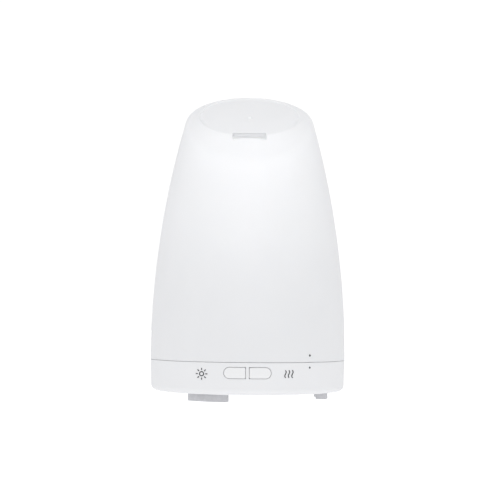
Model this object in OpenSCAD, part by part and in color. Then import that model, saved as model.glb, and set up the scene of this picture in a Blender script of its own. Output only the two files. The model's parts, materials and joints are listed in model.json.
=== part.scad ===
// Essential oil diffuser: a small ultrasonic aroma diffuser with a lift-off cover.
// Millimetres. Z = 0 is the surface it stands on, and the side with the buttons faces -Y.

/* [Body] */
// Largest diameter, at the seam between base and cover
body_d = 89; // [88:0.5:92]
// Height of the slanted top's plane on the centre line
top_mid_z = 130.7; // [129:0.1:132]
// Slant of the top, which rises toward the back
top_tilt = 28.3; // [27:0.1:29.5]
// Radius of the arc that the cover's side follows from seam to top
side_arc_r = 402; // [380:1:430]
// Wall of the cover
cover_wall = 1.8; // [1.5:0.1:2.0]

/* [Dish and mist outlet] */
// Radius of the round dish in the top
dish_r = 23.6; // [22:0.1:24.5]
// Depth of the dish at its middle
dish_depth = 0.7; // [0.5:0.1:1.3]
// Width of the mist outlet
outlet_w = 15.6; // [12:0.2:16]

/* [Base] */
// Height of the seam between base and cover
seam_z = 17.35; // [17.35:0.05:17.5]
// Height that the feet lift the base
foot_h = 3.5; // [3:0.1:3.8]
// Wall of the base
base_wall = 2.2; // [2:0.1:2.3]

/* [Buttons] */
// Width of one button
button_w = 9.1; // [9:0.1:9.6]
// Height of one button
button_h = 4.6; // [4.4:0.1:5.2]
// Space between the two buttons
button_gap = 1.8; // [1.4:0.05:1.8]

/* [Tank] */
// Height of the tank's rim
tank_rim_z = 70; // [69:0.5:71]
// Height of the fill line inside the tank
fill_line_z = 57; // [50:0.5:58]

/* [Hidden] */

white = [0.95, 0.95, 0.95];
pale = [0.90, 0.91, 0.92];
dark_print = [0.33, 0.33, 0.34];
rubber_grey = [0.68, 0.69, 0.71];
board_green = [0.10, 0.36, 0.20];
black_plastic = [0.08, 0.08, 0.09];
metal = [0.75, 0.76, 0.78];
copper = [0.72, 0.45, 0.20];

round_fn = 180;      // segments of the large round shells
arc_fn = 256;        // segments of the very large arcs
small_fn = 32;       // segments of screws and other small round parts
over = 1;            // how far a cutting shape runs past a face
front = -90;         // angle of the front, about +Z

// ---- the outer form ----
body_r = body_d / 2;
side_arc_z = 18;                     // the side is upright here
side_arc_x = body_r - side_arc_r;
cover_z = seam_z + 0.4;              // bottom edge of the cover
form_top_z = 165;
rim_t = 2.6;                         // thickness of the top, square to it
dish_y = -1.5;                       // the dish is centred a little to the front
front_y = -25.6;                     // in front of this line the top falls away more steeply
front_tilt = 43;
dish_edge_depth = dish_depth - 0.2;
dish_arc_r = (pow(dish_r, 2) + pow(dish_depth - dish_edge_depth, 2)) / (2 * (dish_depth - dish_edge_depth));
outlet_front_y = -26.8;
outlet_back_y = -20.1;
mark_angle = front + 37.1;           // the two alignment dots, cover key and tank notch
dot_r = 0.45;
dot_depth = 0.25;
cover_dot_z = 20.4;
base_dot_z = 15.2;

// ---- the cover's fit over the tank's locating lip ----
lip_r = 42.3;
lip_clearance = 0.15;
lip_top_z = 20.6;
key_w = 2;
key_h = 2.7;
key_clearance = 0.35;

// ---- base ----
base_bottom_z = foot_h;
base_floor_t = 2;
floor_z = base_bottom_z + base_floor_t;
base_corner_r = 2.5;
base_draft = 0.4;                    // the band leans in by this much at its lower end
seam_round = 0.15;                   // rounding of the band's upper edge
base_low_r = body_r - base_draft;
corner_x = base_low_r - base_corner_r;
corner_z = base_bottom_z + base_corner_r;
flange_t = 1;
flange_r = 43.3;
flange_z = cover_z - 0.05 - flange_t;
gasket_t = 0.6;
ledge_z = flange_z - gasket_t;
rebate_r = flange_r + 0.1;

// ---- feet and the screws they hide ----
foot_angles = [240, 0, 120];
foot_in_r = 32;
foot_out_r = 36.7;
foot_half_angle = 15.6;
foot_recess = 1;
screw_circle_r = 34.4;
post_top_z = 9;
screw_seat_z = 7;

// ---- buttons and switches ----
button_z = 13;
button_x = button_gap / 2 + button_w / 2;
button_play = 0.2;
flange_grow = 0.75;
button_flange_y = -40.4;
button_flange_t = 1;
plunger_y = -37.2;
switch_y = -35.6;
switch_body = 6;
switch_board_y = -33.6;
switch_board_t = 1.6;
switch_board_w = 24.6;
switch_board_z = [6, 16.2];
plunger_r = 1.75;
rib_x = switch_board_w / 2;           // the two ribs that hold the switch board's ends

// ---- tank ----
tank_low_r = 40.1;
tank_top_r = 36.8;
tank_wall = 2;
tank_floor_z = 29.5;
tank_floor_rise = 2;
tank_under_z = 27.5;
chimney_out = [-36, -25.6];
chimney_in = [-34, -27];
chimney_half_w = 6.5;
chimney_wall = 1.5;
chimney_top_z = 66.5;
window_z = 60.5;
boss_r = 3.4;

// ---- ultrasonic transducer ----
disc_r = 10;
disc_t = 1;
disc_z = 25.4;
seal_r = 10.9;
seal_hole_r = 7.5;
clamp_z = 23;
clamp_top_z = 24.6;
clamp_r = 16;
clamp_screw_r = 14.4;
clamp_angles = [90, 210, 330];

// ---- light board under the tank ----
led_board_z = 24.2;
led_board_t = 1.2;
led_circle_r = 22;
led_post_angles = [60, 180, 300];
led_angles = [30, 90, 150, 210, 270, 330];

// ---- main board ----
board_x = [6, 29.5];
board_half_y = 26;
board_reach = 36.5;                  // its outer corners follow the tank wall
board_z = 17.2;
board_t = 1.6;
board_top_z = board_z + board_t;
board_posts = [[10, -19.5], [26, -20], [10, 22], [26, 20]];
connector_h = 2.6;

// ---- fan ----
fan_x = -20;
fan_size = 30;
fan_z = 6.3;
fan_h = 7;
fan_bore_r = 14;
fan_hole_pitch = 12;
fan_hub_r = 7.3;
blade_count = 7;

// ---- power inlet ----
jack_w = 9;
jack_y = [6.4, 18.4];
jack_z = floor_z + jack_w / 2;
jack_bore_r = 3;
jack_pin_r = 1;
pocket_half_w = 6.5;
pocket_y = [20, 40];
pocket_wall = 1.6;
pocket_top_z = 14.4;
notch_half_w = 3;
notch_top_z = 9.5;

// ================= shared shapes =================

// Half-section under the cover's curved side, moved inward by inset, between two heights
module side_section(inset, low, high) {
    intersection() {
        translate([side_arc_x, side_arc_z]) circle(r = side_arc_r - inset, $fn = arc_fn);
        translate([0, low]) square([body_r, high - low]);
    }
}

// Everything below a slanted plane through one point of the middle line, lowered square to itself by drop
module below_plane(y, z, tilt, drop) {
    size = 3 * body_d;
    translate([0, y, z]) rotate([tilt, 0, 0])
        translate([-size / 2, -size / 2, -size - drop]) cube(size);
}

// Everything below the slanted top and its steeper front edge
module below_top(drop) {
    intersection() {
        below_plane(0, top_mid_z, top_tilt, drop);
        below_plane(front_y, top_mid_z + front_y * tan(top_tilt), front_tilt, drop);
    }
}

// Solid body with the cover's form
module cover_form(inset, drop, low) {
    intersection() {
        rotate_extrude($fn = round_fn) side_section(inset, low, form_top_z);
        below_top(drop);
    }
}

// Radius of the cover's side and of the base's band at a height
function side_r(z) = side_arc_x + sqrt(pow(side_arc_r, 2) - pow(z - side_arc_z, 2));
function band_r(z) = base_low_r + base_draft * (z - corner_z) / (seam_z - corner_z);
seam_x = band_r(seam_z - seam_round) - seam_round;
function tank_r(z) = tank_low_r + (tank_top_r - tank_low_r) * (z - lip_top_z) / (tank_rim_z - lip_top_z);

module tube(outer_r, inner_r, low, high, fn = round_fn) {
    difference() {
        translate([0, 0, low]) cylinder(r = outer_r, h = high - low, $fn = fn);
        translate([0, 0, low - over]) cylinder(r = inner_r, h = high - low + 2 * over, $fn = fn);
    }
}

// A box between two x, two y and two z values
module block(x, y, z) {
    translate([x[0], y[0], z[0]]) cube([x[1] - x[0], y[1] - y[0], z[1] - z[0]]);
}

module on_circle(r, angles) {
    for (a = angles) rotate([0, 0, a]) translate([r, 0, 0]) children();
}

// A pan-head screw that points up, its head's upper face at z = 0
module screw_up(head_r, head_h, shank_r, shank_h) {
    difference() {
        translate([0, 0, -head_h]) cylinder(r = head_r, h = head_h, $fn = small_fn);
        for (a = [0, 90]) rotate([0, 0, a])
            translate([-head_r * 0.6, -head_r * 0.12, -head_h - over])
                cube([head_r * 1.2, head_r * 0.24, over + head_h / 2]);
    }
    cylinder(r = shank_r, h = shank_h, $fn = small_fn);
}

module screw_down(head_r, head_h, shank_r, shank_h) {
    mirror([0, 0, 1]) screw_up(head_r, head_h, shank_r, shank_h);
}

// ---- wires: a round tube swept along a smooth curve through a few points ----
wire_sides = 6;
wire_steps = 4;

function unit(v) = v / norm(v);
function curve_point(a, b, c, d, t) =
    0.5 * ((2 * b) + (c - a) * t + (2 * a - 5 * b + 4 * c - d) * t * t
        + (3 * b - a - 3 * c + d) * t * t * t);
function wire_path(p) = [
    for (i = [0 : len(p) - 2]) for (s = [0 : wire_steps - 1])
        curve_point(p[max(i - 1, 0)], p[i], p[i + 1], p[min(i + 2, len(p) - 1)], s / wire_steps),
    p[len(p) - 1]
];
function heading(q, i) = unit(q[min(i + 1, len(q) - 1)] - q[max(i - 1, 0)]);
function wire_ring(q, i, r, side) =
    let (ahead = heading(q, i), u = unit(cross(ahead, side)), v = cross(ahead, u))
    [for (k = [0 : wire_sides - 1]) q[i] + r * (u * cos(k * 360 / wire_sides) + v * sin(k * 360 / wire_sides))];

module wire(points, d, side) {
    q = wire_path(points);
    n = wire_sides;
    rings = len(q);
    corners = [for (i = [0 : rings - 1]) for (c = wire_ring(q, i, d / 2, side)) c];
    walls = [
        for (i = [0 : rings - 2]) for (k = [0 : n - 1]) for (f = [
            [i * n + k, i * n + (k + 1) % n, (i + 1) * n + k],
            [i * n + (k + 1) % n, (i + 1) * n + (k + 1) % n, (i + 1) * n + k]
        ]) f
    ];
    ends = [[for (k = [n - 1 : -1 : 0]) k], [for (k = [0 : n - 1]) (rings - 1) * n + k]];
    polyhedron(points = corners, faces = concat(walls, ends), convexity = 6);
}

// ================= cover =================

// The dish: a round recess with a shallow hollow floor, square to the slanted top
module dish_cut() {
    intersection() {
        translate([0, dish_y, 0]) cylinder(r = dish_r, h = form_top_z, $fn = round_fn);
        translate([0, 0, top_mid_z]) rotate([top_tilt, 0, 0])
            translate([0, dish_y / cos(top_tilt), dish_arc_r - dish_depth])
                sphere(r = dish_arc_r, $fn = arc_fn);
    }
}

collar_x = outlet_w / 2 + 3.2;
collar_y = [-29.2, -12.0];
duct_x = outlet_w / 2 + 1.8;
duct_y = [-27.4, -13.3];
duct_wall = 1.2;
duct_gap = 0.1;
collar_z = 106;

module outer_cover() {
    color(white) difference() {
        union() {
            difference() {
                cover_form(0, 0, cover_z);
                cover_form(cover_wall, rim_t, cover_z - over);
            }
            intersection() {
                block([-collar_x, collar_x], collar_y, [collar_z, form_top_z]);
                cover_form(cover_wall / 2, rim_t / 2, collar_z);
            }
            cover_key();
        }
        dish_cut();
        block([-outlet_w / 2, outlet_w / 2], [outlet_front_y, outlet_back_y], [100, form_top_z]);
        intersection() {
            block([-duct_x - duct_gap, duct_x + duct_gap], [duct_y[0] - duct_gap, duct_y[1] + duct_gap],
                [collar_z - over, form_top_z]);
            below_top(rim_t);
        }
        translate([0, 0, cover_z - over])
            difference() {
                cylinder(r = lip_r + lip_clearance, h = lip_top_z + 0.4 - cover_z + over, $fn = round_fn);
                key_shape(key_w, lip_r + lip_clearance + over, 2 * key_h);
            }
        rotate([0, 0, mark_angle]) translate([side_r(cover_dot_z) - dot_depth, 0, cover_dot_z])
            rotate([0, 90, 0]) cylinder(r = dot_r, h = 2, $fn = small_fn);
    }
}

// A radial bar at the alignment mark, which only the notch in the tank's lip lets down
module key_shape(w, outer, h) {
    rotate([0, 0, mark_angle]) translate([lip_r - 1.4, -w / 2, 0]) cube([outer - lip_r + 1.4, w, h]);
}

module cover_key() {
    translate([0, 0, cover_z]) key_shape(key_w, lip_r + 1, key_h);
}

// Inner cover: a cone that gathers the mist and leads it to the outlet
module mist_funnel() {
    skirt_r = 38.4;
    skirt_wall = 1;
    skirt_z = [66, 74];
    cone_top_z = 100;
    color(pale) difference() {
        union() {
            translate([0, 0, skirt_z[0]]) cylinder(r = skirt_r, h = skirt_z[1] - skirt_z[0], $fn = 96);
            hull() {
                translate([0, 0, skirt_z[1]]) cylinder(r = skirt_r, h = 0.01, $fn = 96);
                block([-duct_x, duct_x], duct_y, [cone_top_z, cone_top_z + 0.01]);
            }
            intersection() {
                block([-duct_x, duct_x], duct_y, [cone_top_z, form_top_z]);
                below_top(rim_t);
            }
        }
        translate([0, 0, skirt_z[0] - over])
            cylinder(r = skirt_r - skirt_wall, h = skirt_z[1] - skirt_z[0] + over, $fn = 96);
        hull() {
            translate([0, 0, skirt_z[1] - 0.01]) cylinder(r = skirt_r - skirt_wall, h = 0.01, $fn = 96);
            duct_hole(cone_top_z, cone_top_z + 0.01);
        }
        duct_hole(cone_top_z, form_top_z);
    }
}

module duct_hole(low, high) {
    block([-duct_x + duct_wall, duct_x - duct_wall], [duct_y[0] + duct_wall, duct_y[1] - duct_wall], [low, high]);
}

module cover_dot() {
    color(dark_print) rotate([0, 0, mark_angle])
        translate([side_r(cover_dot_z) - dot_depth, 0, cover_dot_z])
            rotate([0, 90, 0]) cylinder(r = dot_r, h = dot_depth, $fn = small_fn);
}

// ================= base =================

module base_outline() {
    polygon([
        [0, base_bottom_z], [corner_x, base_bottom_z], [corner_x, corner_z],
        [base_low_r, corner_z], [seam_x + seam_round, seam_z - seam_round], [seam_x, seam_z], [0, seam_z]
    ]);
    translate([corner_x, corner_z]) circle(r = base_corner_r, $fn = round_fn);
    translate([seam_x, seam_z - seam_round]) circle(r = seam_round, $fn = small_fn);
}

module base_hollow() {
    polygon([
        [0, floor_z], [corner_x, floor_z], [corner_x, corner_z],
        [base_low_r - base_floor_t, corner_z], [body_r - base_wall, ledge_z],
        [rebate_r, ledge_z], [rebate_r, seam_z + over], [0, seam_z + over]
    ]);
    translate([corner_x, corner_z]) circle(r = base_corner_r - base_floor_t, $fn = round_fn);
}

module arc_block(inner_r, outer_r, half_angle, low, high) {
    rotate([0, 0, -half_angle])
        rotate_extrude(angle = 2 * half_angle, $fn = round_fn)
            translate([inner_r, low]) square([outer_r - inner_r, high - low]);
}

// Outline of one button, side = 1 for the right one: round outside, square inside
module button_outline(side, grow) {
    r = button_h / 2;
    round_x = button_gap / 2 + button_w - r;
    mirror([side < 0 ? 1 : 0, 0]) {
        translate([button_gap / 2 - grow, -r - grow]) square([round_x - button_gap / 2 + grow, 2 * (r + grow)]);
        translate([round_x, 0]) circle(r = r + grow, $fn = 48);
    }
}

// Extrudes a front view, drawn in X and Z, along +Y between two y values
module front_extrude(y) {
    translate([0, y[1], 0]) rotate([90, 0, 0]) linear_extrude(y[1] - y[0]) children();
}

module grille_cut() {
    slot_w = 2;
    pitch = 4;
    reach = 12;
    intersection() {
        translate([fan_x, 0, base_bottom_z - over]) cylinder(r = reach, h = base_floor_t + 2 * over, $fn = 64);
        union() {
            for (i = [-2 : 2])
                block([fan_x - reach, fan_x + reach], [i * pitch - slot_w / 2, i * pitch + slot_w / 2],
                    [base_bottom_z - over, floor_z + over]);
        }
    }
}

module base_posts() {
    on_circle(screw_circle_r, foot_angles)
        translate([0, 0, base_bottom_z]) cylinder(r = 4.6, h = post_top_z - base_bottom_z, $fn = 48);
    for (p = board_posts)
        translate([p[0], p[1], base_bottom_z]) cylinder(r = 2.4, h = board_z - base_bottom_z, $fn = small_fn);
    for (x = [-1, 1]) for (y = [-1, 1])
        translate([fan_x + x * fan_hole_pitch, y * fan_hole_pitch, base_bottom_z])
            cylinder(r = 2.2, h = fan_z - base_bottom_z, $fn = small_fn);
    for (side = [-1, 1])
        block([side * rib_x - 1.3, side * rib_x + 1.3], [switch_board_y - 1.8, switch_board_y + switch_board_t + 1.8],
            [floor_z - over / 2, 14]);
    for (side = [-1, 1])
        block([side * 5.3 - 0.7, side * 5.3 + 0.7], [15.6, jack_y[1] + over], [floor_z - over / 2, 12]);
}

module base_holes() {
    on_circle(screw_circle_r, foot_angles) {
        translate([0, 0, base_bottom_z]) cylinder(r = 3.2, h = screw_seat_z - base_bottom_z, $fn = small_fn);
        translate([0, 0, base_bottom_z]) cylinder(r = 1.7, h = post_top_z, $fn = small_fn);
    }
    for (a = foot_angles) rotate([0, 0, a])
        arc_block(foot_in_r - 0.1, foot_out_r + 0.1, foot_half_angle + 0.2, base_bottom_z - over, base_bottom_z + foot_recess);
    for (p = board_posts)
        translate([p[0], p[1], board_z - 8]) cylinder(r = 0.95, h = 8 + over, $fn = small_fn);
    for (x = [-1, 1]) for (y = [-1, 1])
        translate([fan_x + x * fan_hole_pitch, y * fan_hole_pitch, base_bottom_z + 0.8])
            cylinder(r = 0.95, h = fan_z, $fn = small_fn);
    for (side = [-1, 1]) front_extrude([-50, -38])
        translate([0, button_z]) button_outline(side, button_play);
    block([-switch_board_w / 2 - 0.1, switch_board_w / 2 + 0.1],
        [switch_board_y - 0.05, switch_board_y + switch_board_t + 0.05], [switch_board_z[0], 20]);
    rotate([0, 0, mark_angle]) translate([band_r(base_dot_z) - dot_depth, 0, base_dot_z])
        rotate([0, 90, 0]) cylinder(r = dot_r, h = 2, $fn = small_fn);
}

// Walls of the pocket in the underside that takes the plug
module pocket_walls() {
    intersection() {
        block([-pocket_half_w - pocket_wall, pocket_half_w + pocket_wall], [pocket_y[0] - pocket_wall, 45],
            [base_bottom_z, pocket_top_z + pocket_wall]);
        rotate_extrude($fn = round_fn) base_outline();
    }
}

module pocket_cut() {
    block([-pocket_half_w, pocket_half_w], pocket_y, [base_bottom_z - over, pocket_top_z]);
    block([-notch_half_w, notch_half_w], [pocket_y[1] - over, 50], [base_bottom_z - over, notch_top_z]);
    translate([0, pocket_y[0] + over, jack_z]) rotate([90, 0, 0])
        cylinder(r = 3.3, h = pocket_wall + 2 * over, $fn = 64);
}

module base_housing() {
    color(white) difference() {
        union() {
            difference() {
                rotate_extrude($fn = round_fn) base_outline();
                rotate_extrude($fn = round_fn) base_hollow();
            }
            base_posts();
            pocket_walls();
        }
        base_holes();
        pocket_cut();
        grille_cut();
    }
}

module foot() {
    color(rubber_grey)
        arc_block(foot_in_r, foot_out_r, foot_half_angle, 0, base_bottom_z + foot_recess);
}

module base_screws() {
    color(metal) on_circle(screw_circle_r, foot_angles)
        translate([0, 0, screw_seat_z]) screw_up(2.8, 1.8, 1.45, 13);
}

module tank_gasket() {
    color(rubber_grey) tube(flange_r, body_r - base_wall + 0.05, ledge_z, flange_z);
}

module base_dot() {
    color(dark_print) rotate([0, 0, mark_angle])
        translate([band_r(base_dot_z) - dot_depth, 0, base_dot_z])
            rotate([0, 90, 0]) cylinder(r = dot_r, h = dot_depth, $fn = small_fn);
}

// Printed symbols beside the buttons: a raised film that follows the band
print_t = 0.08;

module band_film() {
    difference() {
        rotate_extrude($fn = round_fn)
            polygon([
                [base_low_r - 8, corner_z], [base_low_r + print_t, corner_z],
                [body_r + print_t, seam_z], [body_r - 8, seam_z]
            ]);
        rotate_extrude($fn = round_fn)
            polygon([[0, corner_z - over], [base_low_r, corner_z - over], [base_low_r, corner_z],
                [body_r, seam_z], [body_r, seam_z + over], [0, seam_z + over]]);
    }
}

module light_icon() {
    color(dark_print) intersection() {
        band_film();
        front_extrude([-50, -30]) translate([-19.6, 12.4]) {
            difference() {
                circle(r = 1.1, $fn = 48);
                circle(r = 0.7, $fn = 48);
            }
            for (a = [0 : 45 : 315]) rotate(a) translate([1.6, -0.2]) square([0.9, 0.4]);
        }
    }
}

module mist_icon() {
    color(dark_print) intersection() {
        band_film();
        front_extrude([-50, -30]) translate([17.7, 12.6])
            for (x = [-1.5, 0, 1.5]) translate([x, 0]) {
                wave_arc(1);
                mirror([0, 1]) wave_arc(-1);
            }
    }
}

// Half of one S-shaped mist line: an arc above the middle, bulging to one side
module wave_arc(side) {
    arc_r = 1.1;
    line_w = 0.4;
    intersection() {
        translate([-side * arc_r * 0.75, arc_r * 0.75]) difference() {
            circle(r = arc_r + line_w / 2, $fn = 48);
            circle(r = arc_r - line_w / 2, $fn = 48);
        }
        translate([side > 0 ? -0.2 : -2, 0]) square([2.2, arc_r * 1.5]);
    }
}

// ================= tank =================

module tank_section() {
    polygon([
        [38.1, flange_z], [flange_r, flange_z], [flange_r, flange_z + flange_t],
        [lip_r, flange_z + flange_t], [lip_r, lip_top_z], [tank_low_r, lip_top_z],
        [tank_top_r, tank_rim_z], [tank_top_r - tank_wall, tank_rim_z],
        [tank_r(tank_floor_z + tank_floor_rise) - tank_wall, tank_floor_z + tank_floor_rise],
        [seal_r, tank_floor_z], [seal_hole_r + 0.7, tank_floor_z - 0.5], [seal_hole_r + 0.7, tank_under_z],
        [seal_r, tank_under_z], [seal_r, clamp_top_z], [seal_r + 1.6, clamp_top_z],
        [seal_r + 1.6, tank_under_z], [37.7, tank_under_z]
    ]);
}

module fill_line() {
    inner_r = tank_r(fill_line_z) - tank_wall;
    tube(inner_r + 0.5, inner_r - 0.4, fill_line_z - 0.3, fill_line_z + 0.3);
}

module tank_body() {
    color(white) difference() {
        union() {
            rotate_extrude($fn = round_fn) tank_section();
            fill_line();
            intersection() {
                block(chimney_out, [-chimney_half_w - chimney_wall, chimney_half_w + chimney_wall],
                    [tank_under_z, chimney_top_z + chimney_wall]);
                translate([0, 0, tank_under_z])
                    cylinder(r1 = tank_r(tank_under_z) - 1, r2 = tank_top_r - 1, h = tank_rim_z - tank_under_z, $fn = round_fn);
            }
            on_circle(screw_circle_r, foot_angles)
                translate([0, 0, post_top_z]) cylinder(r = boss_r, h = tank_under_z + over - post_top_z, $fn = small_fn);
            on_circle(clamp_screw_r, clamp_angles)
                translate([0, 0, clamp_top_z]) cylinder(r = 2.1, h = tank_under_z + over - clamp_top_z, $fn = small_fn);
            on_circle(led_circle_r, led_post_angles)
                translate([0, 0, led_board_z + led_board_t])
                    cylinder(r = 2, h = tank_under_z + over - led_board_z - led_board_t, $fn = small_fn);
        }
        block(chimney_in, [-chimney_half_w, chimney_half_w], [tank_under_z - over, chimney_top_z]);
        block([chimney_in[1] - over, chimney_out[1] + over], [-5, 5], [window_z, chimney_top_z]);
        on_circle(screw_circle_r, foot_angles)
            translate([0, 0, post_top_z - over]) cylinder(r = 1.5, h = 15, $fn = small_fn);
        on_circle(clamp_screw_r, clamp_angles)
            translate([0, 0, clamp_top_z - over]) cylinder(r = 0.95, h = 4.2, $fn = small_fn);
        on_circle(led_circle_r, led_post_angles)
            translate([0, 0, clamp_top_z - over]) cylinder(r = 0.85, h = 4.2, $fn = small_fn);
        translate([0, 0, cover_z - over / 2]) key_shape(key_w + 2 * key_clearance, lip_r + over, 5);
    }
}

// ================= transducer =================

module transducer_disc() {
    color(metal) translate([0, 0, disc_z]) cylinder(r = disc_r, h = disc_t, $fn = 96);
}

module transducer_seal() {
    color(rubber_grey) difference() {
        tube(seal_r, seal_hole_r, clamp_top_z, tank_under_z, 96);
        translate([0, 0, disc_z]) cylinder(r = disc_r, h = disc_t, $fn = 96);
    }
}

module transducer_clamp() {
    color(metal) difference() {
        tube(clamp_r, seal_hole_r - 0.5, clamp_z, clamp_top_z, 96);
        on_circle(clamp_screw_r, clamp_angles)
            translate([0, 0, clamp_z - over]) cylinder(r = 1.15, h = 4, $fn = small_fn);
    }
}

module clamp_screws() {
    color(metal) on_circle(clamp_screw_r, clamp_angles)
        translate([0, 0, clamp_z]) screw_up(1.8, 1.2, 0.9, 4.5);
}

// ================= light board =================

module led_board() {
    color(white) difference() {
        tube(26.5, 17.5, led_board_z, led_board_z + led_board_t, 128);
        on_circle(led_circle_r, led_post_angles)
            translate([0, 0, led_board_z - over]) cylinder(r = 1.1, h = 4, $fn = small_fn);
    }
}

module leds() {
    led_w = 5;
    led_h = 1.6;
    color([0.98, 0.95, 0.70]) on_circle(led_circle_r, led_angles)
        translate([-led_w / 2, -led_w / 2, led_board_z + led_board_t]) difference() {
            cube([led_w, led_w, led_h]);
            translate([led_w / 2, led_w / 2, led_h - 0.5]) cylinder(r = 1.9, h = 1, $fn = small_fn);
        }
}

module led_board_screws() {
    color(metal) on_circle(led_circle_r, led_post_angles)
        translate([0, 0, led_board_z]) screw_up(1.8, 1.2, 0.8, 3.2);
}

// ================= main board =================

module main_board() {
    color(board_green) difference() {
        intersection() {
            block(board_x, [-board_half_y, board_half_y], [board_z, board_top_z]);
            cylinder(r = board_reach, h = form_top_z, $fn = round_fn);
        }
        for (p = board_posts)
            translate([p[0], p[1], board_z - over]) cylinder(r = 1.1, h = 4, $fn = small_fn);
    }
}

module board_chip() {
    color(black_plastic) block([13, 21], [1, 6], [board_top_z + 0.2, board_top_z + 1.7]);
    color(metal) for (i = [0 : 5]) for (side = [-1, 1])
        block([13.7 + 1.3 * i, 14.1 + 1.3 * i], side > 0 ? [6, 7] : [0, 1], [board_top_z, board_top_z + 0.5]);
}

module board_inductor() {
    color(black_plastic) translate([19.5, -9.5, board_top_z]) {
        cylinder(r = 3.8, h = 0.8, $fn = 48);
        translate([0, 0, 3.2]) cylinder(r = 3.8, h = 0.8, $fn = 48);
        cylinder(r = 2.9, h = 4, $fn = 48);
    }
}

module board_capacitors() {
    color(metal) for (p = [[20, 13.5, 3], [26.3, 12.5, 2.2], [26, -12.5, 2.4]])
        translate([p[0], p[1], board_top_z]) {
            cylinder(r = p[2], h = 0.7, $fn = 48);
            translate([0, 0, 0.7]) cylinder(r = p[2] - 0.25, h = 0.4, $fn = 48);
            translate([0, 0, 1.1]) cylinder(r = p[2], h = 3.5, $fn = 48);
        }
}

module heat_sink() {
    fins = 5;
    color(metal) {
        block([23, 29], [-6, 6], [board_top_z, board_top_z + 1]);
        for (i = [0 : fins - 1])
            block([23 + 1.3 * i, 23.8 + 1.3 * i], [-6, 6], [board_top_z + 1, board_top_z + 4.6]);
    }
}

// Sockets on the board: place and size of each in X and Y
connectors = [
    [[7, 10.5], [-1.5, 2.5]], [[7, 10.5], [-8, -4.5]], [[7, 10.5], [-15, -11]],
    [[10, 14], [14, 17.5]], [[13, 18], [-25, -21.5]]
];

module board_connectors() {
    color([0.90, 0.88, 0.80]) for (c = connectors)
        block(c[0], c[1], [board_top_z, board_top_z + connector_h]);
}

module board_screws() {
    color(metal) for (p = board_posts)
        translate([p[0], p[1], board_top_z]) screw_down(1.8, 1.2, 0.9, 7);
}

// ================= switches and buttons =================

module switch_board() {
    color(board_green) block([-switch_board_w / 2, switch_board_w / 2],
        [switch_board_y, switch_board_y + switch_board_t], switch_board_z);
}

module tact_switch(side) {
    color(black_plastic) difference() {
        block([side * button_x - switch_body / 2, side * button_x + switch_body / 2],
            [switch_y, switch_board_y], [button_z - switch_body / 2, button_z + switch_body / 2]);
        translate([side * button_x, switch_y - over, button_z]) rotate([-90, 0, 0])
            cylinder(r = plunger_r + 0.15, h = over + 1, $fn = small_fn);
    }
}

module plunger(side) {
    color(black_plastic) translate([side * button_x, plunger_y, button_z]) rotate([-90, 0, 0])
        cylinder(r = plunger_r, h = switch_y - plunger_y + 0.3, $fn = small_fn);
}

module button(side) {
    color(white) {
        intersection() {
            front_extrude([-46, button_flange_y]) translate([0, button_z]) button_outline(side, 0);
            cylinder(r = body_r, h = 2 * button_z, $fn = round_fn);
        }
        front_extrude([button_flange_y, button_flange_y + button_flange_t])
            translate([0, button_z]) intersection() {
                button_outline(side, flange_grow);
                translate([side > 0 ? 0.3 : -15.3, -5]) square([15, 10]);
            }
        translate([side * button_x, button_flange_y + button_flange_t, button_z]) rotate([-90, 0, 0])
            cylinder(r = 1.6, h = plunger_y - button_flange_y - button_flange_t, $fn = small_fn);
    }
}

// ================= fan =================

module at_fan() {
    translate([fan_x, 0, 0]) children();
}

module fan_housing() {
    half = fan_size / 2;
    color(black_plastic) at_fan() difference() {
        union() {
            difference() {
                block([-half, half], [-half, half], [fan_z, fan_z + fan_h]);
                translate([0, 0, fan_z - over]) cylinder(r = fan_bore_r, h = fan_h + 2 * over, $fn = 128);
            }
            for (a = [45, 165, 285]) rotate([0, 0, a]) block([5, fan_bore_r + 1], [-1, 1], [fan_z, fan_z + 1]);
            translate([0, 0, fan_z]) cylinder(r = 7, h = 1, $fn = 64);
            translate([0, 0, fan_z]) cylinder(r = 3, h = 5, $fn = small_fn);
        }
        translate([0, 0, fan_z + 0.8]) cylinder(r = 2.2, h = 5, $fn = small_fn);
        for (x = [-1, 1]) for (y = [-1, 1])
            translate([x * fan_hole_pitch, y * fan_hole_pitch, fan_z - over])
                cylinder(r = 1.3, h = fan_h + 2 * over, $fn = small_fn);
    }
}

module fan_stator() {
    low = fan_z + 1.5;
    color(copper) at_fan() {
        tube(3.8, 3.05, low, low + 3.2, small_fn);
        for (a = [0 : 90 : 270]) rotate([0, 0, a]) {
            block([3.5, 4.6], [-0.8, 0.8], [low, low + 3.2]);
            block([4.6, 5.8], [-2.2, 2.2], [low, low + 3.2]);
        }
    }
}

module fan_bearing() {
    color([0.70, 0.60, 0.40]) at_fan() tube(2.2, 1.03, fan_z + 0.8, fan_z + 4.8, small_fn);
}

module fan_screws() {
    color(metal) at_fan() for (x = [-1, 1]) for (y = [-1, 1])
        translate([x * fan_hole_pitch, y * fan_hole_pitch, fan_z + fan_h]) screw_down(1.8, 1.1, 0.9, 8.5);
}

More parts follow.
